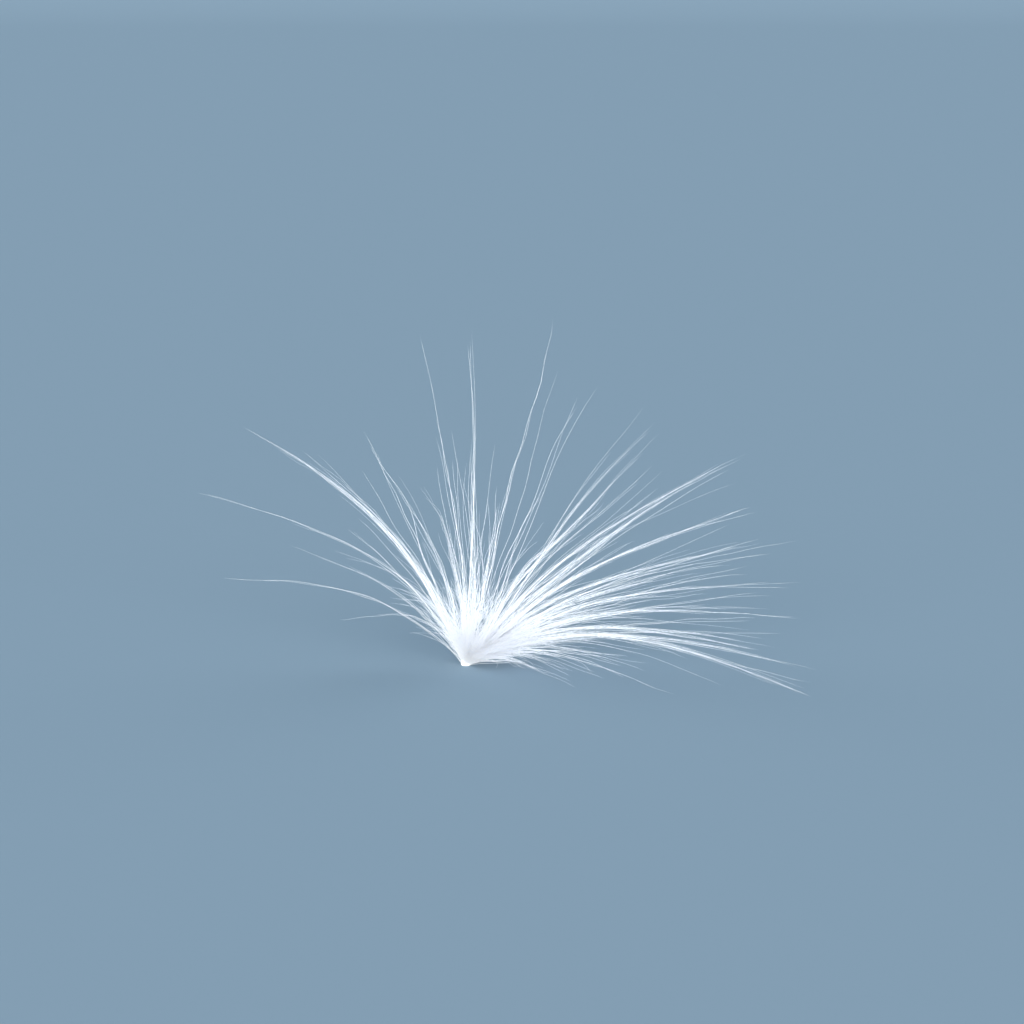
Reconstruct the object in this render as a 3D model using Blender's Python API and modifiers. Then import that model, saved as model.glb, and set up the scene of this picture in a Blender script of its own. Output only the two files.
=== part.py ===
"""A tuft of milkweed silk: the parachute of hairs that carries one milkweed seed, without its seed.

The silky hairs grow from one small root, and hold together in locks. The locks leave the root close
together, in a dense throat, and arch outwards: the fullest spray leans towards +X, a long lock and a few
thin ones reach the other way, and the rest stand up or spread towards the front and the back.
The tuft sits on the flat end of its root and on the drooping tips of its lowest locks.

The origin is the middle of the root's flat end, at Z = 0, with +Z up. Metres.
"""

import math
import random
from collections import namedtuple

import bmesh
import bpy
from mathutils import Vector

MM = 0.001

# The root and the dense throat above it
ROOT_RADIUS = 0.6 * MM
THROAT_RADIUS = 2.2 * MM
THROAT_HEIGHT = 2.8 * MM
THROAT_STEPS = 14

# How the locks' lengths spread, in mm, and the share of locks that are short and end inside the tuft
LENGTH_SPREAD = 1.2
SHORT_LOCK_SHARE = 0.76
SHORTEST_SHARE = 0.26
LONGEST_SHORT_SHARE = 0.70

# How thick the locks are
LOCK_RADIUS = 0.17 * MM
THINNEST = 0.65
THICKEST = 1.1
ROOT_SHARE = 0.45
TIP_SHARE = 0.35
FULLEST_AT = 0.20
TAPER = 0.8
LOCK_SIDES = 3
PATH_STEPS = 6
STEP_POWER = 1.4

# Where they leave the throat's axis: the lowest locks lowest
LOWEST_EXIT = 0.45 * MM
HIGHEST_EXIT = 1.6 * MM
EXIT_SPREAD = 0.3 * MM

# The way the whole tuft leans, which every lock bends away from
LEAN_AZIMUTH = 0.0
LEAN_ELEVATION = 66.0
BEND_SHARE = 0.5
BEND_SPREAD = 0.3
EARLY_BEND = 0.35

# How far the locks swell outwards just above the root, and where along them they do so most
BULGE = 0.9 * MM
BULGE_AT = 3.2 * MM

# The slow wave along a lock
WAVE = 0.6 * MM
WAVE_TURN = 5.0

# A lock that lies on the surface keeps its centre line this share of its radius above it, and is cut flat
SINK_SHARE = 0.4

LOCK_COUNT = 185
SEED = 41

# Locks that give the tuft its outline: azimuth, elevation, length in mm, bend, thickness
LEADING_LOCKS = (
    (149, 39, 35.4, 42, 1.7),
    (146, 44, 28.0, 36, 0.8),
    (128, 52, 24.0, 28, 0.9),
    (160, 27, 34.0, 52, 0.45),
    (168, 17, 27.0, 46, 0.45),
    (-163, 50, 19.0, 24, 0.5),
    (-150, 36, 24.0, 34, 0.5),
    (-99, 43, 33.0, 28, 1.2),
    (-93, 28, 30.0, 34, 1.3),
    (-84, 25, 28.0, 34, 1.1),
    (-106, 26, 27.0, 36, 0.9),
    (109, 64, 35.5, 20, 0.5),
    (90, 76, 34.0, 12, 0.6),
    (-85, 74, 24.0, 10, 0.5),
    (45, 70, 36.5, 12, 0.5),
    (39, 41, 34.0, 24, 1.1),
    (20, 47, 31.0, 18, 1.0),
    (-66, 36, 30.0, 30, 1.2),
    (-60, 38, 33.0, 30, 1.2),
    (4, 37, 35.4, 26, 1.2),
    (19, 33, 36.0, 24, 1.0),
    (-20, 31, 35.0, 28, 1.1),
    (10, 19, 36.5, 34, 1.2),
    (-12, 16, 35.0, 36, 1.1),
    (30, 12, 33.0, 38, 1.0),
    (-30, 9, 33.0, 36, 1.0),
    (0, 8, 34.0, 36, 1.0),
)

# Locks whose tips droop to the surface: azimuth, length in mm, bend, thickness
RESTING_LOCKS = (
    (-23, 36.5, 48, 1.7),
    (-5, 35.4, 40, 1.1),
    (14, 33.0, 40, 1.0),
    (-36, 25.0, 40, 0.9),
    (48, 29.0, 40, 0.8),
    (124, 26.0, 46, 0.45),
    (92, 26.0, 44, 0.7),
    (66, 27.0, 44, 0.6),
    (76, 19.0, 42, 0.5),
)

# The other locks: share, middle azimuth, its spread, lowest and highest elevation, length in mm
ZONES = (
    (0.32, -6.0, 30.0, 2.5, 24.0, 32.0),
    (0.10, 0.0, 28.0, 22.0, 40.0, 32.0),
    (0.05, 5.0, 34.0, 36.0, 50.0, 31.0),
    (0.11, -88.0, 18.0, 18.0, 34.0, 27.0),
    (0.03, 168.0, 24.0, 48.0, 60.0, 22.0),
    (0.08, 95.0, 22.0, 4.0, 24.0, 28.0),
    (0.03, 0.0, 60.0, 62.0, 84.0, 28.0),
    (0.16, -18.0, 38.0, 7.0, 28.0, 18.0),
    (0.05, -48.0, 14.0, 4.0, 9.0, 20.0),
    (0.07, -75.0, 40.0, 34.0, 70.0, 13.0),
)
MOST_SPREADS = 2.0

Lock = namedtuple("Lock", "exit_height tip bend thickness phase")


def direction(azimuth, elevation):
    """Unit vector at an azimuth from +X towards +Y and an elevation above the surface, in degrees."""
    a, e = math.radians(azimuth), math.radians(elevation)
    return Vector((math.cos(a) * math.cos(e), math.sin(a) * math.cos(e), math.sin(e)))


def clear_scene():
    for found in list(bpy.data.objects):
        bpy.data.objects.remove(found)


def new_collection(name):
    made = bpy.data.collections.new(name)
    bpy.context.scene.collection.children.link(made)
    return made


def silk_material():
    """Shining white silk, faintly cool."""
    silk = bpy.data.materials.new("silk")
    silk.use_nodes = True
    shader = silk.node_tree.nodes["Principled BSDF"]
    shader.inputs["Base Color"].default_value = (0.93, 0.93, 0.96, 1.0)
    shader.inputs["Roughness"].default_value = 0.35
    shader.inputs["Metallic"].default_value = 0.0
    return silk


def make_lock(rng, azimuth, elevation, length, bend, thickness):
    """A lock whose tip is at an azimuth, elevation and distance from the origin. All angles in degrees."""
    height = LOWEST_EXIT + (HIGHEST_EXIT - LOWEST_EXIT) * elevation / 90
    height = max(height + EXIT_SPREAD * rng.uniform(-1, 1), LOWEST_EXIT)
    return Lock(height, direction(azimuth, elevation) * length, math.radians(bend), thickness,
                rng.uniform(0, 2 * math.pi))


def zone_lock(rng, lean):
    """A lock drawn from the zones. It bends the more, the further it points from the tuft's lean."""
    _, middle, spread, low, high, usual_length = rng.choices(ZONES, [zone[0] for zone in ZONES])[0]
    azimuth = middle + spread * max(-MOST_SPREADS, min(MOST_SPREADS, rng.gauss(0, 1)))
    elevation = rng.uniform(low, high)
    length = rng.gauss(usual_length, LENGTH_SPREAD) * MM
    if rng.random() < SHORT_LOCK_SHARE:
        length *= rng.uniform(SHORTEST_SHARE, LONGEST_SHORT_SHARE)
    off_lean = math.degrees(lean.angle(direction(azimuth, elevation)))
    bend = off_lean * BEND_SHARE * rng.uniform(1 - BEND_SPREAD, 1 + BEND_SPREAD)
    return make_lock(rng, azimuth, elevation, length, bend, rng.uniform(THINNEST, THICKEST))


def all_locks():
    rng = random.Random(SEED)
    lean = direction(LEAN_AZIMUTH, LEAN_ELEVATION)
    locks = [make_lock(rng, azimuth, 0, length * MM, bend, thickness)
             for azimuth, length, bend, thickness in RESTING_LOCKS]
    locks += [make_lock(rng, azimuth, elevation, length * MM, bend, thickness)
              for azimuth, elevation, length, bend, thickness in LEADING_LOCKS]
    while len(locks) < LOCK_COUNT:
        locks.append(zone_lock(rng, lean))
    return locks


def lock_radius(thickness, t):
    """The radius at a share t of the lock's length: slim at the root, soon fullest, and fine at the tip."""
    if t < FULLEST_AT:
        share = ROOT_SHARE + (1 - ROOT_SHARE) * t / FULLEST_AT
    else:
        share = TIP_SHARE + (1 - TIP_SHARE) * ((1 - t) / (1 - FULLEST_AT)) ** TAPER
    return LOCK_RADIUS * thickness * share


def path_shares():
    """The shares of a lock's length at which its path has its points, closest together near the root."""
    return [(i / PATH_STEPS) ** STEP_POWER for i in range(PATH_STEPS + 1)]


def lock_path(lock):
    """The lock's centre line: it swells outwards above the root, and bows towards the lean."""
    start = Vector((0, 0, lock.exit_height))
    chord = lock.tip - start
    along = chord.normalized()
    lean = direction(LEAN_AZIMUTH, LEAN_ELEVATION)
    inward = (lean - lean.dot(along) * along).normalized()
    sideways = along.cross(inward)
    outward = Vector((chord.x, chord.y, 0)) / chord.length
    bow = lock.bend * chord.length / 2
    points = []
    for t in path_shares():
        rise = bow * t * (1 - t) * (1 + EARLY_BEND * (1 - 2 * t))
        sway = WAVE * 4 * t * (1 - t) * math.sin(lock.phase + WAVE_TURN * t)
        run = t * chord.length / BULGE_AT
        swell = BULGE * run * math.exp(1 - run)
        point = start + chord * t + inward * rise + sideways * sway + outward * swell
        point.z = max(point.z, SINK_SHARE * lock_radius(lock.thickness, t))
        points.append(point)
    return points


def lock_profile(collection):
    """The three-sided outline that the locks are swept with."""
    outline = bpy.data.curves.new("lock_profile", "CURVE")
    outline.dimensions = "2D"
    spline = outline.splines.new("POLY")
    spline.points.add(LOCK_SIDES - 1)
    for i, point in enumerate(spline.points):
        turn = 2 * math.pi * i / LOCK_SIDES
        point.co = (LOCK_RADIUS * math.cos(turn), LOCK_RADIUS * math.sin(turn), 0, 1)
    spline.use_cyclic_u = True
    guide = bpy.data.objects.new("lock_profile", outline)
    guide.hide_render = True
    guide.display_type = "WIRE"
    collection.objects.link(guide)
    return guide


def lock_curve(lock, profile):
    """A curve along the lock's path, swept with the profile and tapering."""
    curve = bpy.data.curves.new("lock_curve", "CURVE")
    curve.dimensions = "3D"
    curve.bevel_mode = "OBJECT"
    curve.bevel_object = profile
    curve.use_fill_caps = True
    spline = curve.splines.new("POLY")
    spline.points.add(PATH_STEPS)
    for point, place, t in zip(spline.points, lock_path(lock), path_shares()):
        point.co = (*place, 1)
        point.radius = lock_radius(lock.thickness, t) / LOCK_RADIUS
    return curve


def lock_solid(lock, number, profile, collection):
    """One lock as a closed mesh, cut flat where it lies on the surface."""
    swept = bpy.data.objects.new("lock_curve", lock_curve(lock, profile))
    collection.objects.link(swept)
    bpy.context.view_layer.update()
    graph = bpy.context.evaluated_depsgraph_get()
    mesh = bpy.data.meshes.new_from_object(swept.evaluated_get(graph))
    work = bmesh.new()
    work.from_mesh(mesh)
    bmesh.ops.remove_doubles(work, verts=work.verts, dist=0.001 * MM)
    bmesh.ops.recalc_face_normals(work, faces=work.faces)
    for corner in work.verts:
        corner.co.z = max(corner.co.z, 0)
    work.to_mesh(mesh)
    work.free()
    bpy.data.objects.remove(swept)
    collection.objects.link(bpy.data.objects.new(f"lock_{number:03d}", mesh))


def throat(collection):
    """The flat-ended root and the dense throat of hairs above it: a turned profile, top to bottom."""
    profile = (
        (0.0, 0.72 * THROAT_HEIGHT),
        (0.50 * THROAT_RADIUS, 0.80 * THROAT_HEIGHT),
        (0.88 * THROAT_RADIUS, THROAT_HEIGHT),
        (THROAT_RADIUS, 0.93 * THROAT_HEIGHT),
        (0.78 * THROAT_RADIUS, 0.62 * THROAT_HEIGHT),
        (1.60 * ROOT_RADIUS, 0.24 * THROAT_HEIGHT),
        (ROOT_RADIUS, 0.0),
        (0.0, 0.0),
    )
    mesh = bpy.data.meshes.new("silk_tuft")
    mesh.from_pydata([(r, 0, z) for r, z in profile], [(i, i + 1) for i in range(len(profile) - 1)], [])
    made = bpy.data.objects.new("silk_tuft", mesh)
    collection.objects.link(made)
    turn = made.modifiers.new("turn", "SCREW")
    turn.steps = turn.render_steps = THROAT_STEPS
    turn.use_merge_vertices = True
    turn.merge_threshold = 0.01 * MM
    return made


def union_with(body, others):
    """Joins every solid of a collection to the body, applies that, and removes them."""
    join = body.modifiers.new("join", "BOOLEAN")
    join.operation = "UNION"
    join.operand_type = "COLLECTION"
    join.collection = others
    join.solver = "MANIFOLD"
    bpy.context.view_layer.update()
    graph = bpy.context.evaluated_depsgraph_get()
    joined = bpy.data.meshes.new_from_object(body.evaluated_get(graph))
    body.modifiers.clear()
    body.data = joined
    for used in list(others.objects):
        bpy.data.objects.remove(used)
    bpy.data.collections.remove(others)


def connected_surfaces(work):
    """The mesh's faces, in one list for each connected surface, the largest last."""
    unseen = set(work.faces)
    surfaces = []
    while unseen:
        front = [unseen.pop()]
        surface = []
        while front:
            face = front.pop()
            surface.append(face)
            neighbours = {other for edge in face.edges for other in edge.link_faces} & unseen
            unseen -= neighbours
            front.extend(neighbours)
        surfaces.append(surface)
    return sorted(surfaces, key=len)


def keep_outer_skin(mesh):
    """Keeps the largest surface only, which fills the small pockets that the joined locks seal off."""
    work = bmesh.new()
    work.from_mesh(mesh)
    for surface in connected_surfaces(work)[:-1]:
        bmesh.ops.delete(work, geom=surface, context="FACES")
    work.to_mesh(mesh)
    work.free()


def silk_tuft():
    body = throat(new_collection("milkweed_silk_tuft"))
    profile = lock_profile(new_collection("guides"))
    lock_solids = new_collection("lock_solids")
    for number, lock in enumerate(all_locks()):
        lock_solid(lock, number, profile, lock_solids)
    union_with(body, lock_solids)
    keep_outer_skin(body.data)
    body.data.materials.clear()
    body.data.materials.append(silk_material())


clear_scene()
silk_tuft()
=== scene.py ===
"""The looks of the milkweed silk tuft: its fine silk, in locks and strays, its root, and a plain studio.

The locks are those of the CAD solid: they are drawn here by the same rule, from the same values and seed.
Each lock shows as a loose bundle of single hairs, and other single hairs stand between and above the locks.
Every hair is a closed, tapering tube. Angles are in degrees, and colours are linear.
"""

import math
import random
from collections import namedtuple

import bpy
import numpy as np
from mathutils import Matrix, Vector


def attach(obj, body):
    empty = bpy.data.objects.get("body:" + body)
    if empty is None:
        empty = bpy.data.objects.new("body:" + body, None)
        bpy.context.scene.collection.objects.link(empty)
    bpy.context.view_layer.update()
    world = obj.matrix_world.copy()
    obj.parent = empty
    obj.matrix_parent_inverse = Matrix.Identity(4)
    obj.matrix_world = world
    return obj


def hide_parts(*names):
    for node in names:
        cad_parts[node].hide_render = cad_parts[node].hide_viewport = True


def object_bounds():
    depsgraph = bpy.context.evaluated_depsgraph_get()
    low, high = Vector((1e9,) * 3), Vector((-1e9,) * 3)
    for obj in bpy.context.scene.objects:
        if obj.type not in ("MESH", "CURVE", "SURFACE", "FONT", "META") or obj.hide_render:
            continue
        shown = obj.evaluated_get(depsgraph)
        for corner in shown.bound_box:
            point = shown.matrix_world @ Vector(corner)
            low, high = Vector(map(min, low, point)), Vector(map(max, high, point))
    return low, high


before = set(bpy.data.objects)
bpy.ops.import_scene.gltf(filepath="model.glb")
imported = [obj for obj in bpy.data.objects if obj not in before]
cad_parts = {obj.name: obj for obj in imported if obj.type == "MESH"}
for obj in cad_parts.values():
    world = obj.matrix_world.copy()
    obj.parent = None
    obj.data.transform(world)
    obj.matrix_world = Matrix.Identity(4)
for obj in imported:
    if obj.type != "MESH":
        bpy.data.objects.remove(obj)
cad_low, cad_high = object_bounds()

MM = 0.001

# How the locks' lengths spread, in mm, and the share of locks that are short and end inside the tuft
LENGTH_SPREAD = 1.2
SHORT_LOCK_SHARE = 0.76
SHORTEST_SHARE = 0.26
LONGEST_SHORT_SHARE = 0.70

# How thick the locks are
LOCK_RADIUS = 0.17 * MM
THINNEST = 0.65
THICKEST = 1.1
ROOT_SHARE = 0.45
TIP_SHARE = 0.35
FULLEST_AT = 0.20
TAPER = 0.8

# Where the locks leave the root's axis: the lowest locks lowest
LOWEST_EXIT = 0.45 * MM
HIGHEST_EXIT = 1.6 * MM
EXIT_SPREAD = 0.3 * MM

# The way the whole tuft leans, which every lock bends away from
LEAN_AZIMUTH = 0.0
LEAN_ELEVATION = 66.0
BEND_SHARE = 0.5
BEND_SPREAD = 0.3
EARLY_BEND = 0.35

# How far the locks swell outwards just above the root, and where along them they do so most
BULGE = 0.9 * MM
BULGE_AT = 3.2 * MM

# The slow wave along a lock
WAVE = 0.6 * MM
WAVE_TURN = 5.0

LOCK_COUNT = 185
SEED = 41

# Locks that give the tuft its outline: azimuth, elevation, length in mm, bend, thickness
LEADING_LOCKS = (
    (149, 39, 35.4, 42, 1.7),
    (146, 44, 28.0, 36, 0.8),
    (128, 52, 24.0, 28, 0.9),
    (160, 27, 34.0, 52, 0.45),
    (168, 17, 27.0, 46, 0.45),
    (-163, 50, 19.0, 24, 0.5),
    (-150, 36, 24.0, 34, 0.5),
    (-99, 43, 33.0, 28, 1.2),
    (-93, 28, 30.0, 34, 1.3),
    (-84, 25, 28.0, 34, 1.1),
    (-106, 26, 27.0, 36, 0.9),
    (109, 64, 35.5, 20, 0.5),
    (90, 76, 34.0, 12, 0.6),
    (-85, 74, 24.0, 10, 0.5),
    (45, 70, 36.5, 12, 0.5),
    (39, 41, 34.0, 24, 1.1),
    (20, 47, 31.0, 18, 1.0),
    (-66, 36, 30.0, 30, 1.2),
    (-60, 38, 33.0, 30, 1.2),
    (4, 37, 35.4, 26, 1.2),
    (19, 33, 36.0, 24, 1.0),
    (-20, 31, 35.0, 28, 1.1),
    (10, 19, 36.5, 34, 1.2),
    (-12, 16, 35.0, 36, 1.1),
    (30, 12, 33.0, 38, 1.0),
    (-30, 9, 33.0, 36, 1.0),
    (0, 8, 34.0, 36, 1.0),
)

# Locks whose tips droop to the floor: azimuth, length in mm, bend, thickness
RESTING_LOCKS = (
    (-23, 36.5, 48, 1.7),
    (-5, 35.4, 40, 1.1),
    (14, 33.0, 40, 1.0),
    (-36, 25.0, 40, 0.9),
    (48, 29.0, 40, 0.8),
    (124, 26.0, 46, 0.45),
    (92, 26.0, 44, 0.7),
    (66, 27.0, 44, 0.6),
    (76, 19.0, 42, 0.5),
)

# The other locks: share, middle azimuth, its spread, lowest and highest elevation, length in mm
ZONES = (
    (0.32, -6.0, 30.0, 2.5, 24.0, 32.0),
    (0.10, 0.0, 28.0, 22.0, 40.0, 32.0),
    (0.05, 5.0, 34.0, 36.0, 50.0, 31.0),
    (0.11, -88.0, 18.0, 18.0, 34.0, 27.0),
    (0.03, 168.0, 24.0, 48.0, 60.0, 22.0),
    (0.08, 95.0, 22.0, 4.0, 24.0, 28.0),
    (0.03, 0.0, 60.0, 62.0, 84.0, 28.0),
    (0.16, -18.0, 38.0, 7.0, 28.0, 18.0),
    (0.05, -48.0, 14.0, 4.0, 9.0, 20.0),
    (0.07, -75.0, 40.0, 34.0, 70.0, 13.0),
)
MOST_SPREADS = 2.0

# How many hairs show a lock: the count for thickness 1, how it grows with the thickness, and how many times
# as many a short lock has
HAIR_SEED = 7
HAIRS_PER_LOCK = 9
COUNT_POWER = 1.7
COUNT_SPREAD = (0.75, 1.25)
FEWEST_HAIRS = 3
SHORT_LOCK = 15 * MM
SHORT_LOCK_HAIRS = 1.7

# The share of a lock's hairs that leave it early, and how many strays there are beside those
FREE_SHARE = 0.36
STRAY_COUNT = 420
LOWEST_STRAY_TIP = 0.8 * MM

# Hairs of no lock, short ones that fill the middle and a few long ones above it:
# how many, middle azimuth, its spread, lowest and highest elevation, shortest and longest in mm
SINGLE_HAIRS = (
    (240, -80, 60, 60, 88, 6.5, 9.4),
    (24, 90, 120, 76, 88, 10, 24),
    (4, 175, 8, 61, 66, 22, 27),
    (4, 30, 8, 61, 66, 27, 33),
)
SINGLE_BEND = (4, 14)

# How thick a hair is: its radius at the root, and the shares of it half way and towards the tip. Its rings are
# closest together near the root
HAIR_RADIUS = 0.017 * MM
HAIR_RADIUS_SPREAD = (0.8, 1.25)
HAIR_MIDDLE_SHARE = 0.8
HAIR_TIP_SHARE = 0.38
HAIR_SIDES = 3
HAIR_STEPS = 26
STEP_POWER = 1.3

# The share of its lock that a hair runs along, from the shortest up: a higher power makes more of them short
SHORTEST_REACH = 0.22
REACH_POWER = 2.1
LEADING_REACH = 0.55
LEADING_REACH_POWER = 1.0
LONGEST_REACH = 0.99

# Where a hair runs in its lock: the share of the lock's radius that the hairs fill, and how much looser they
# are near the root. Past the place where a hair leaves the lock it drifts aside, and curls by so many radians
FILLED_SHARE = 0.9
LOOSENESS = 0.3 * MM
LOOSENESS_POWER = 3
DRIFT_POWER = 1.4
CURL_TURNS = (4, 12)

# The small waves of a hair: their length, their height and its spread, how far up the hair they are full, and
# their phases in radians
SHORTEST_WAVE = 4.5 * MM
LONGEST_WAVE = 10.0 * MM
CRIMP = 0.07 * MM
CRIMP_SPREAD = (0.4, 1.6)
CRIMP_FROM = 9 * MM
CRIMP_PHASES = (0, 6)

# Where a hair starts on the root, seen in the direction that it has at an early step: how far out, how far
# aside in mm, how high in mm, and the share of its lock over which it comes back to its own line
ROOT_SPREAD = 0.42 * MM
ROOT_ASIDE = (-0.15, 0.15)
ROOT_START = (0.05, 0.35)
HEADING_STEP = 4
ROOT_REACH = 0.10
LEAST_LENGTH = 1e-9

# The room for the hairs' centre lines: the solid's bounds, less what keeps a hair clear of the floor
LOWEST_HAIR = 1.2 * HAIR_RADIUS
ROOM_LOW = np.array(cad_low) + LOWEST_HAIR
ROOM_HIGH = np.array(cad_high) - LOWEST_HAIR

# A hair that rises by more than this share of its length has its rings laid out from the X axis, and the others
# from the Z axis
STEEP = 0.8

# The map of the silk has a column for each of the hairs' tints, with a margin on both sides
TINTS = 32
COLUMN_MARGIN = 0.1

# The silk's colours along a hair, creamy at the root and with painted blue light that dims and cools the tips,
# from hair to hair and over the noise of the painted glint bands, and its roughness over the same noise
LENGTH_TONES_AND_PAINTED_TIP_LIGHT = (
    (0.0, (0.99, 0.98, 0.965)),
    (0.10, (0.995, 0.993, 0.99)),
    (0.45, (0.97, 0.975, 0.995)),
    (1.0, (0.78, 0.84, 0.98)),
)
HAIR_TONES = ((0.0, (0.96, 0.96, 0.985)), (0.35, (1.0, 1.0, 1.0)), (1.0, (1.0, 1.0, 0.995)))
# Painted glints: bands along each hair where the silk's colour is lighter
PAINTED_GLINT_TONES = ((0.30, (0.955, 0.96, 0.98)), (0.62, (1.0, 1.0, 1.0)))
GLINT_BANDS_ALONG = 38.0
GLINT_BANDS_ACROSS = 310.0
GLINT_BAND_DETAIL = 2.0
SILK_ROUGHNESS = (0.24, 0.46)
SCATTER = 0.05 * MM
SHEEN = 0.25
SHEEN_ROUGHNESS = 0.4

# The root that the hairs spring from: its outline in shares of its radius and height, from the top down, and
# its colours over its grain
ROOT_RADIUS = 0.52 * MM
ROOT_HEIGHT = 0.55 * MM
ROOT_SIDES = 48
ROOT_PROFILE = (
    (0.0, 1.0), (0.45, 0.96), (0.80, 0.78), (1.0, 0.42), (0.96, 0.12), (0.85, 0.0), (0.0, 0.0),
)
SEAM = 0.001 * MM
ROOT_TONES = ((0.3, (0.86, 0.82, 0.75)), (0.7, (0.95, 0.93, 0.90)))
ROOT_GRAIN = 9000.0
ROOT_GRAIN_DETAIL = 4.0
ROOT_ROUGHNESS = 0.6

# The camera: the photograph's root, in pixels of its 1024 x 1024 frame, and the real size of a pixel
PHOTO_SIDE = 1024
PHOTO_ROOT = (466, 665)
PIXEL = 0.1 * MM
CAMERA_AZIMUTH = -90.0
CAMERA_ELEVATION = 10.0
LENS = 100.0
SENSOR = 36.0
NEAREST_SEEN = 0.01

# The studio. The floor's colour is such that the lit floor looks like the world behind its rim
FLOOR_RADIUS = 12.0
FLOOR_CENTRE = FLOOR_RADIUS / 50
RIM_RADIUS = 60.0
RIM_TURN = math.radians(12)
RIM_STEPS = 12
FLOOR_SIDES = 64
FLOOR_COLOUR = (0.2009, 0.273, 0.3305)
FLOOR_ROUGHNESS = 0.9
WORLD_COLOUR = (0.51, 0.76, 1.0)
WORLD_STRENGTH = 0.45
LIGHT_BOUNCES = 16

# Soft lamps: name, azimuth, elevation, strength, how many degrees wide it looks, colour
LAMPS = (
    ("front_left", -118, 8, 5.8, 40, (1.0, 0.99, 0.98)),
    ("front_right", -62, 6, 5.3, 40, (1.0, 0.99, 0.98)),
    ("front", -90, 2, 3.0, 20, (1.0, 1.0, 1.0)),
    ("left_back", 150, 16, 2.0, 40, (1.0, 1.0, 1.0)),
    ("right_back", 35, 16, 2.0, 40, (0.97, 0.98, 1.0)),
)

Lock = namedtuple("Lock", "exit_height tip bend thickness phase")

# How a hair keeps to its lock: the shares of it between which it leaves, and its drift and curl in mm
Habit = namedtuple("Habit", "leave drift curl")
BUNDLED = Habit(leave=(0.3, 0.9), drift=1.2, curl=(0.05, 0.25))
FREE = Habit(leave=(0.0, 0.4), drift=2.6, curl=(0.15, 0.6))


def direction(azimuth, elevation):
    """Unit vector at an azimuth from +X towards +Y and an elevation above the floor, in degrees."""
    a, e = math.radians(azimuth), math.radians(elevation)
    return np.array((math.cos(a) * math.cos(e), math.sin(a) * math.cos(e), math.sin(e)))


def link(made):
    bpy.context.scene.collection.objects.link(made)
    return made


def make_lock(rng, azimuth, elevation, length, bend, thickness):
    """A lock whose tip is at an azimuth, elevation and distance from the origin. All angles in degrees."""
    height = LOWEST_EXIT + (HIGHEST_EXIT - LOWEST_EXIT) * elevation / 90
    height = max(height + EXIT_SPREAD * rng.uniform(-1, 1), LOWEST_EXIT)
    return Lock(height, direction(azimuth, elevation) * length, math.radians(bend), thickness,
                rng.uniform(0, 2 * math.pi))


def zone_lock(rng, lean):
    """A lock drawn from the zones. It bends the more, the further it points from the tuft's lean."""
    _, middle, spread, low, high, usual_length = rng.choices(ZONES, [zone[0] for zone in ZONES])[0]
    azimuth = middle + spread * max(-MOST_SPREADS, min(MOST_SPREADS, rng.gauss(0, 1)))
    elevation = rng.uniform(low, high)
    length = rng.gauss(usual_length, LENGTH_SPREAD) * MM
    if rng.random() < SHORT_LOCK_SHARE:
        length *= rng.uniform(SHORTEST_SHARE, LONGEST_SHORT_SHARE)
    off_lean = math.degrees(math.acos(lean.dot(direction(azimuth, elevation))))
    bend = off_lean * BEND_SHARE * rng.uniform(1 - BEND_SPREAD, 1 + BEND_SPREAD)
    return make_lock(rng, azimuth, elevation, length, bend, rng.uniform(THINNEST, THICKEST))


def all_locks():
    """The solid's locks: the resting ones, the leading ones, and then those of the zones."""
    rng = random.Random(SEED)
    lean = direction(LEAN_AZIMUTH, LEAN_ELEVATION)
    locks = [make_lock(rng, azimuth, 0, length * MM, bend, thickness)
             for azimuth, length, bend, thickness in RESTING_LOCKS]
    locks += [make_lock(rng, azimuth, elevation, length * MM, bend, thickness)
              for azimuth, elevation, length, bend, thickness in LEADING_LOCKS]
    while len(locks) < LOCK_COUNT:
        locks.append(zone_lock(rng, lean))
    return locks


def lock_radius(thickness, t):
    """The radius at shares t of the lock's length: slim at the root, soon fullest, and fine at the tip."""
    near = ROOT_SHARE + (1 - ROOT_SHARE) * t / FULLEST_AT
    far = TIP_SHARE + (1 - TIP_SHARE) * (np.clip(1 - t, 0, 1) / (1 - FULLEST_AT)) ** TAPER
    return LOCK_RADIUS * thickness * np.where(t < FULLEST_AT, near, far)


def lock_sides(lock):
    """The lock's chord, and two directions across it: towards the tuft's lean, and sideways."""
    chord = lock.tip - np.array((0, 0, lock.exit_height))
    along = chord / np.linalg.norm(chord)
    lean = direction(LEAN_AZIMUTH, LEAN_ELEVATION)
    inward = lean - lean.dot(along) * along
    inward /= np.linalg.norm(inward)
    return chord, inward, np.cross(along, inward)


def lock_path(lock, t):
    """The lock's centre line at shares t: it swells outwards above the root, and bows towards the lean."""
    chord, inward, sideways = lock_sides(lock)
    bow = lock.bend * np.linalg.norm(chord) / 2
    rise = bow * t * (1 - t) * (1 + EARLY_BEND * (1 - 2 * t))
    sway = WAVE * 4 * t * (1 - t) * np.sin(lock.phase + WAVE_TURN * t)
    run = t * np.linalg.norm(chord) / BULGE_AT
    spread = BULGE / np.linalg.norm(chord) * run * np.exp(1 - run)
    path = (0, 0, lock.exit_height) + np.outer(t, chord) + np.outer(rise, inward) + np.outer(sway, sideways)
    return path + np.outer(spread, chord * (1, 1, 0))


def across(lock, angle):
    """A direction across the lock, at an angle in radians from the tuft's lean."""
    _, inward, sideways = lock_sides(lock)
    return math.cos(angle) * inward + math.sin(angle) * sideways


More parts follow.
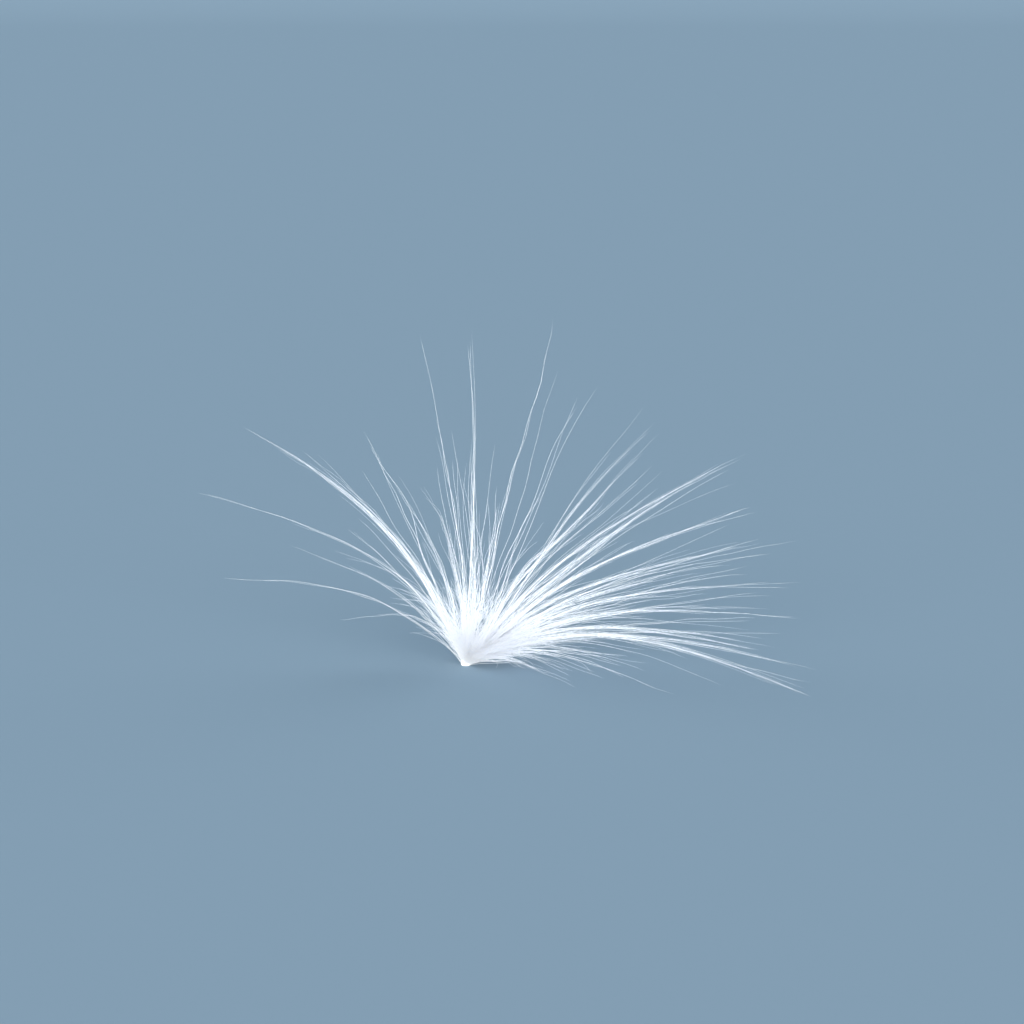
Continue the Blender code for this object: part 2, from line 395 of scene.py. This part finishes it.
def hair_line(lock, rng, reach, habit):
    """One hair: it follows its lock for a share of its length, then drifts aside, and curls a little."""
    leave = rng.uniform(*habit.leave)
    drift = rng.gauss(0, habit.drift) * MM
    curl = rng.uniform(*habit.curl) * MM
    t = reach * (np.arange(HAIR_STEPS + 1) / HAIR_STEPS) ** STEP_POWER
    inside = FILLED_SHARE * math.sqrt(rng.random()) * lock_radius(lock.thickness, t)
    inside += LOOSENESS * rng.random() * (1 - t) ** LOOSENESS_POWER
    away = drift * np.clip(t - leave, 0, None) ** DRIFT_POWER
    line = lock_path(lock, t) + np.outer(inside + away, across(lock, rng.uniform(0, 2 * math.pi)))
    turns, phase = rng.uniform(*CURL_TURNS), rng.uniform(0, 2 * math.pi)
    line += np.outer(curl * t * np.sin(turns * t + phase), across(lock, phase))
    line += crimp(lock, t, rng)
    return rooted(line, t, rng)


def crimp(lock, t, rng):
    """The small waves of a hair, which it hasn't at its root."""
    run = t * np.linalg.norm(lock.tip)
    wave = rng.uniform(SHORTEST_WAVE, LONGEST_WAVE)
    height = CRIMP * rng.uniform(*CRIMP_SPREAD) * np.clip(run / CRIMP_FROM, 0, 1)
    waves = height * np.sin(2 * math.pi * run / wave + rng.uniform(*CRIMP_PHASES))
    return np.outer(waves, across(lock, rng.uniform(*CRIMP_PHASES)))


def rooted(line, t, rng):
    """Brings the hair's start to its own place on the root."""
    x, y = line[HEADING_STEP, :2] / max(np.linalg.norm(line[HEADING_STEP, :2]), LEAST_LENGTH)
    out = ROOT_SPREAD * math.sqrt(rng.random())
    aside = rng.uniform(*ROOT_ASIDE) * MM
    start = np.array((x * out - y * aside, y * out + x * aside, rng.uniform(*ROOT_START) * MM))
    return line + np.outer(np.clip(1 - t / ROOT_REACH, 0, None) ** 2, start - line[0])


def hair_reach(rng, leading):
    """The share of its lock that a hair runs along. Those of the leading locks run further."""
    shortest, power = (LEADING_REACH, LEADING_REACH_POWER) if leading else (SHORTEST_REACH, REACH_POWER)
    return shortest + (LONGEST_REACH - shortest) * rng.random() ** power


def single_hair(rng, middle, spread, low, high, shortest, longest):
    """A hair of no lock, with an azimuth, an elevation and a length, in mm, from those of its group."""
    azimuth, elevation = rng.gauss(middle, spread), rng.uniform(low, high)
    length, bend = rng.uniform(shortest, longest) * MM, rng.uniform(*SINGLE_BEND)
    return hair_line(make_lock(rng, azimuth, elevation, length, bend, 1), rng, 1, FREE)


def lock_hairs(lock, rng, resting, leading):
    """The lines of the hairs that keep to a lock, the first nearly as long as it, and of those that stray."""
    count = HAIRS_PER_LOCK * lock.thickness ** COUNT_POWER * rng.uniform(*COUNT_SPREAD)
    if np.linalg.norm(lock.tip) < SHORT_LOCK:
        count *= SHORT_LOCK_HAIRS
    bundled, strays = [confined(hair_line(lock, rng, LONGEST_REACH, BUNDLED))], []
    for _ in range(max(FEWEST_HAIRS, round(count)) - 1):
        reach = hair_reach(rng, leading)
        if rng.random() < FREE_SHARE:
            strays.append(hair_line(lock, rng, reach, FREE))
        else:
            line = hair_line(lock, rng, reach, BUNDLED)
            bundled.append(confined(line) if resting else line)
    return bundled, strays


def all_hairs():
    """The lines of the hairs that keep to their locks, and of those that stray. No stray lies on the floor."""
    rng = random.Random(HAIR_SEED)
    bundled, strays = [], []
    for number, lock in enumerate(all_locks()):
        resting = number < len(RESTING_LOCKS)
        leading = number < len(RESTING_LOCKS) + len(LEADING_LOCKS)
        kept, loose = lock_hairs(lock, rng, resting, leading)
        bundled += kept
        strays += loose
    lean = direction(LEAN_AZIMUTH, LEAN_ELEVATION)
    strays += [hair_line(zone_lock(rng, lean), rng, hair_reach(rng, False), FREE) for _ in range(STRAY_COUNT)]
    strays += [single_hair(rng, *group) for count, *group in SINGLE_HAIRS for _ in range(count)]
    strays = [line for line in strays if line[-1, 2] > LOWEST_STRAY_TIP]
    return [line for line in bundled if stands_free(line)], [line for line in strays if stands_free(line)]


def confined(line):
    """The line, kept above the floor and within the solid's bounds."""
    return np.clip(line, ROOM_LOW, ROOM_HIGH)


def stands_free(line):
    """Whether a hair is clear of the floor, and within the solid's bounds."""
    return bool((line >= ROOM_LOW).all() and (line <= ROOM_HIGH).all())


def ring_sides(points):
    """Two unit directions across each line at each of its points."""
    tangents = np.gradient(points, axis=1)
    tangents /= np.linalg.norm(tangents, axis=2, keepdims=True)
    whole = points[:, -1] - points[:, 0]
    steep = np.abs(whole[:, 2]) > STEEP * np.linalg.norm(whole, axis=1)
    helper = np.where(steep[:, None], (1.0, 0.0, 0.0), (0.0, 0.0, 1.0))
    first = np.cross(tangents, helper[:, None, :])
    first /= np.linalg.norm(first, axis=2, keepdims=True)
    return first, np.cross(tangents, first)


def hair_corners(points, rng):
    """The corners of each hair's tube: a ring at every point but the last, and then the tip."""
    hairs, rings = points.shape[0], points.shape[1] - 1
    taper = np.interp(np.arange(rings) / rings, (0, 0.5, 1), (1, HAIR_MIDDLE_SHARE, HAIR_TIP_SHARE))
    radii = HAIR_RADIUS * np.array([rng.uniform(*HAIR_RADIUS_SPREAD) for _ in range(hairs)])[:, None] * taper
    first, second = ring_sides(points)
    turns = 2 * math.pi * np.arange(HAIR_SIDES) / HAIR_SIDES
    ring = first[:, :-1, None] * np.cos(turns)[:, None] + second[:, :-1, None] * np.sin(turns)[:, None]
    sides = points[:, :-1, None] + ring * radii[:, :, None, None]
    return np.concatenate([sides.reshape(hairs, -1, 3), points[:, -1:]], axis=1).reshape(-1, 3)


def hair_faces(hairs, rings):
    """Corner numbers of the faces of closed tubes that end in a point: quads, tips and root caps."""
    each = rings * HAIR_SIDES + 1
    base = (np.arange(hairs) * each)[:, None, None]
    row = (np.arange(rings - 1) * HAIR_SIDES)[None, :, None]
    side = np.arange(HAIR_SIDES)[None, None, :]
    after = (side + 1) % HAIR_SIDES
    below, above = base + row, base + row + HAIR_SIDES
    quads = np.stack([below + side, below + after, above + after, above + side], axis=-1).reshape(-1, 4)
    last = base[:, 0] + (rings - 1) * HAIR_SIDES
    point = np.broadcast_to(base[:, 0] + each - 1, (hairs, HAIR_SIDES))
    tips = np.stack([last + side[0], last + after[0], point], axis=-1).reshape(-1, 3)
    caps = base[:, 0] + np.arange(HAIR_SIDES)[::-1][None, :]
    return quads, tips, caps


def mesh_of(name, corners, face_sets):
    """A smooth mesh. face_sets: arrays of corner numbers, each with one row for a face."""
    mesh = bpy.data.meshes.new(name)
    mesh.vertices.add(len(corners))
    mesh.vertices.foreach_set("co", corners.astype(np.float32).ravel())
    numbers = np.concatenate([faces.ravel() for faces in face_sets])
    mesh.loops.add(len(numbers))
    mesh.loops.foreach_set("vertex_index", numbers.astype(np.int32))
    sizes = np.concatenate([np.full(len(faces), faces.shape[1]) for faces in face_sets])
    mesh.polygons.add(len(sizes))
    mesh.polygons.foreach_set("loop_start", (np.cumsum(sizes) - sizes).astype(np.int32))
    mesh.update(calc_edges=True)
    mesh.shade_smooth()
    return mesh


def hair_mesh(name, lines, rng):
    """One mesh of tapering hairs. Each point keeps how far along its hair it is, and each hair its tint."""
    points = np.array(lines)
    hairs, rings = points.shape[0], points.shape[1] - 1
    mesh = mesh_of(name, hair_corners(points, rng), hair_faces(hairs, rings))
    along = np.append(np.repeat(np.arange(rings) / rings, HAIR_SIDES), 1.0)
    tints = np.array([rng.randrange(TINTS) for _ in lines])
    keep_values(mesh, "along", np.tile(along, hairs))
    keep_values(mesh, "tint", np.repeat(tints / (TINTS - 1), len(along)))
    lay_out(mesh, tints, rings)
    return mesh


def keep_values(mesh, name, values):
    mesh.attributes.new(name, "FLOAT", "POINT").data.foreach_set("value", values.astype(np.float32))


def lay_out(mesh, tints, rings):
    """A map with a column for each tint, in which every hair runs from its root to its tip."""
    hairs = len(tints)
    column = (tints / TINTS)[:, None, None, None]
    sides = np.arange(HAIR_SIDES + 1) / HAIR_SIDES
    u = (COLUMN_MARGIN + (1 - 2 * COLUMN_MARGIN) * sides) / TINTS
    v = np.arange(rings + 1) / rings
    quads = np.empty((hairs, rings - 1, HAIR_SIDES, 4, 2))
    quads[..., 0] = column + np.stack([u[:-1], u[1:], u[1:], u[:-1]], axis=-1)
    quads[..., 1] = np.stack([v[:-2], v[:-2], v[1:-1], v[1:-1]], axis=-1)[:, None]
    tips = np.empty((hairs, HAIR_SIDES, 3, 2))
    tips[..., 0] = column[:, 0] + np.stack([u[:-1], u[1:], (u[:-1] + u[1:]) / 2], axis=-1)
    tips[..., 1] = (v[-2], v[-2], 1.0)
    # A cap's corners run backwards, and the middle one is drawn out so that the cap has an area
    caps = np.empty((hairs, HAIR_SIDES, 2))
    caps[..., 0] = column[:, 0, 0] + u[[2, 1, 0]]
    caps[..., 1] = (0.0, v[1], 0.0)
    places = np.concatenate([part.ravel() for part in (quads, tips, caps)])
    layer = mesh.uv_layers.new(name="OFBake", do_init=False)
    layer.uv.foreach_set("vector", places.astype(np.float32))


def add_node(tree, kind, **settings):
    made = tree.nodes.new(kind)
    for name, value in settings.items():
        setattr(made, name, value)
    return made


def colour_ramp(tree, factor, stops):
    """A colour ramp on a factor. stops: place and linear colour for each stop."""
    made = add_node(tree, "ShaderNodeValToRGB")
    ramp = made.color_ramp
    while len(ramp.elements) < len(stops):
        ramp.elements.new(0.5)
    for element, (place, colour) in zip(ramp.elements, stops):
        element.position = place
        element.color = (*colour, 1)
    tree.links.new(factor, made.inputs["Fac"])
    return made.outputs["Color"]


def multiplied(tree, one, other):
    made = add_node(tree, "ShaderNodeMix", data_type="RGBA", blend_type="MULTIPLY")
    made.inputs["Factor"].default_value = 1.0
    tree.links.new(one, made.inputs["A"])
    tree.links.new(other, made.inputs["B"])
    return made.outputs["Result"]


def noise_over(tree, places, scale, detail):
    made = add_node(tree, "ShaderNodeTexNoise")
    made.inputs["Scale"].default_value = scale
    made.inputs["Detail"].default_value = detail
    tree.links.new(places, made.inputs["Vector"])
    return made.outputs["Fac"]


def painted_glint_bands(tree, along, tint):
    """Noise that changes in bands along a hair, and from hair to hair. It paints glints into the silk's colour,
    and sets its roughness.
    """
    place = add_node(tree, "ShaderNodeCombineXYZ")
    tree.links.new(along, place.inputs["X"])
    tree.links.new(tint, place.inputs["Y"])
    stretch = add_node(tree, "ShaderNodeMapping")
    stretch.inputs["Scale"].default_value = (GLINT_BANDS_ALONG, GLINT_BANDS_ACROSS, 1.0)
    tree.links.new(place.outputs["Vector"], stretch.inputs["Vector"])
    return noise_over(tree, stretch.outputs["Vector"], 1.0, GLINT_BAND_DETAIL)


def silk_material():
    """Shining white silk: creamy at the root, with painted blue light that dims and cools the tips, each hair
    with its own tone, and with painted glints in bands along it.
    """
    made = bpy.data.materials.new("silk")
    made.use_nodes = True
    tree = made.node_tree
    shader = tree.nodes["Principled BSDF"]
    along = add_node(tree, "ShaderNodeAttribute", attribute_name="along").outputs["Fac"]
    tint = add_node(tree, "ShaderNodeAttribute", attribute_name="tint").outputs["Fac"]
    glint_bands = painted_glint_bands(tree, along, tint)
    # Tone along the hair and from hair to hair; the dimmer blue towards the tips is painted blue light
    silk_tone_and_painted_light = multiplied(tree, colour_ramp(tree, along, LENGTH_TONES_AND_PAINTED_TIP_LIGHT), colour_ramp(tree, tint, HAIR_TONES))
    # Painted glints: the colour lightens and darkens in bands along each hair
    silk_tone_and_painted_light = multiplied(tree, silk_tone_and_painted_light, colour_ramp(tree, glint_bands, PAINTED_GLINT_TONES))
    tree.links.new(silk_tone_and_painted_light, shader.inputs["Base Color"])
    gloss = add_node(tree, "ShaderNodeMapRange")
    gloss.inputs["To Min"].default_value, gloss.inputs["To Max"].default_value = SILK_ROUGHNESS
    tree.links.new(glint_bands, gloss.inputs["Value"])
    tree.links.new(gloss.outputs["Result"], shader.inputs["Roughness"])
    shader.inputs["Subsurface Weight"].default_value = 1.0
    shader.inputs["Subsurface Radius"].default_value = (1.0, 1.0, 1.0)
    shader.inputs["Subsurface Scale"].default_value = SCATTER
    shader.inputs["Sheen Weight"].default_value = SHEEN
    shader.inputs["Sheen Roughness"].default_value = SHEEN_ROUGHNESS
    return made


def root_material():
    """Dry plant tissue, pale tan and finely grained."""
    made = bpy.data.materials.new("root")
    made.use_nodes = True
    tree = made.node_tree
    shader = tree.nodes["Principled BSDF"]
    places = add_node(tree, "ShaderNodeTexCoord").outputs["Object"]
    grain = noise_over(tree, places, ROOT_GRAIN, ROOT_GRAIN_DETAIL)
    tree.links.new(colour_ramp(tree, grain, ROOT_TONES), shader.inputs["Base Color"])
    shader.inputs["Roughness"].default_value = ROOT_ROUGHNESS
    return made


def silk_piece(name, lines, rng, material):
    piece = link(bpy.data.objects.new(name, hair_mesh(name, lines, rng)))
    piece.data.materials.append(material)
    return piece


def root_piece():
    """The small turned boss that every hair springs from."""
    mesh = bpy.data.meshes.new("silk_root")
    corners = [(r * ROOT_RADIUS, 0, z * ROOT_HEIGHT) for r, z in ROOT_PROFILE]
    mesh.from_pydata(corners, [(i, i + 1) for i in range(len(corners) - 1)], [])
    piece = link(bpy.data.objects.new("silk_root", mesh))
    turn = piece.modifiers.new("turn", "SCREW")
    turn.steps = turn.render_steps = ROOT_SIDES
    turn.use_merge_vertices = True
    turn.merge_threshold = SEAM
    piece.data.materials.append(root_material())
    return piece


def silk_tuft():
    """Every piece stands for the one CAD solid."""
    bundled, strays = all_hairs()
    rng = random.Random(HAIR_SEED)
    silk = silk_material()
    pieces = [
        silk_piece("silk_locks", bundled, rng, silk),
        silk_piece("silk_strays", strays, rng, silk),
        root_piece(),
    ]
    for piece in pieces:
        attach(piece, "root")
        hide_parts("silk_tuft")


def floor_paint():
    """Matt paint with no gloss at all, so that the floor looks the same from every side."""
    paint = bpy.data.materials.new("floor")
    paint.use_nodes = True
    shader = paint.node_tree.nodes["Principled BSDF"]
    shader.inputs["Base Color"].default_value = (*FLOOR_COLOUR, 1)
    shader.inputs["Roughness"].default_value = FLOOR_ROUGHNESS
    shader.inputs["Specular IOR Level"].default_value = 0.0
    return paint


def floor_and_backdrop():
    """A plain pale floor whose far rim rises, all round, into a low backdrop."""
    rise = [(FLOOR_RADIUS + RIM_RADIUS * math.sin(a), RIM_RADIUS * (1 - math.cos(a)))
            for a in np.linspace(0, RIM_TURN, RIM_STEPS)]
    rings = [(FLOOR_CENTRE, 0.0), (FLOOR_RADIUS, 0.0)] + rise[1:]
    turns = np.linspace(0, 2 * math.pi, FLOOR_SIDES, endpoint=False)
    corners = [(0, 0, 0)] + [(r * math.cos(a), r * math.sin(a), z) for r, z in rings for a in turns]
    faces = [(0, 1 + i, 1 + (i + 1) % FLOOR_SIDES) for i in range(FLOOR_SIDES)]
    for ring in range(len(rings) - 1):
        inner, outer = 1 + ring * FLOOR_SIDES, 1 + (ring + 1) * FLOOR_SIDES
        faces += [(inner + i, outer + i, outer + (i + 1) % FLOOR_SIDES, inner + (i + 1) % FLOOR_SIDES)
                  for i in range(FLOOR_SIDES)]
    mesh = bpy.data.meshes.new("floor")
    mesh.from_pydata(corners, [], faces)
    mesh.shade_smooth()
    floor = link(bpy.data.objects.new("floor", mesh))
    mesh.materials.append(floor_paint())


def soft_lamp(name, azimuth, elevation, strength, spread, colour):
    """Even light from one side. spread: how many degrees wide its source looks."""
    lamp = bpy.data.lights.new(name, "SUN")
    lamp.energy = strength
    lamp.angle = math.radians(spread)
    lamp.color = colour
    placed = link(bpy.data.objects.new(name, lamp))
    placed.rotation_euler = Vector(direction(azimuth, elevation)).to_track_quat("Z", "Y").to_euler()


def lights():
    world = bpy.data.worlds.new("studio")
    bpy.context.scene.world = world
    world.use_nodes = True
    background = world.node_tree.nodes["Background"]
    background.inputs["Color"].default_value = (*WORLD_COLOUR, 1)
    background.inputs["Strength"].default_value = WORLD_STRENGTH
    for lamp in LAMPS:
        soft_lamp(*lamp)


def camera():
    """Looks along the photograph's view, with the root at the photograph's place."""
    eye = bpy.data.cameras.new("camera")
    eye.lens = LENS
    eye.sensor_width = SENSOR
    eye.clip_start = NEAREST_SEEN
    placed = link(bpy.data.objects.new("camera", eye))
    back = Vector(direction(CAMERA_AZIMUTH, CAMERA_ELEVATION))
    turn = back.to_track_quat("Z", "Y")
    right, up = turn @ Vector((1, 0, 0)), turn @ Vector((0, 1, 0))
    middle = PHOTO_SIDE / 2
    aim = right * (middle - PHOTO_ROOT[0]) * PIXEL + up * (PHOTO_ROOT[1] - middle) * PIXEL
    placed.location = aim + back * (PHOTO_SIDE * PIXEL * LENS / SENSOR)
    placed.rotation_euler = turn.to_euler()
    bpy.context.scene.camera = placed


camera()
silk_tuft()
floor_and_backdrop()
lights()
bpy.context.scene.view_settings.view_transform = "Standard"
bpy.context.scene.cycles.max_bounces = LIGHT_BOUNCES
bpy.context.scene.cycles.diffuse_bounces = LIGHT_BOUNCES
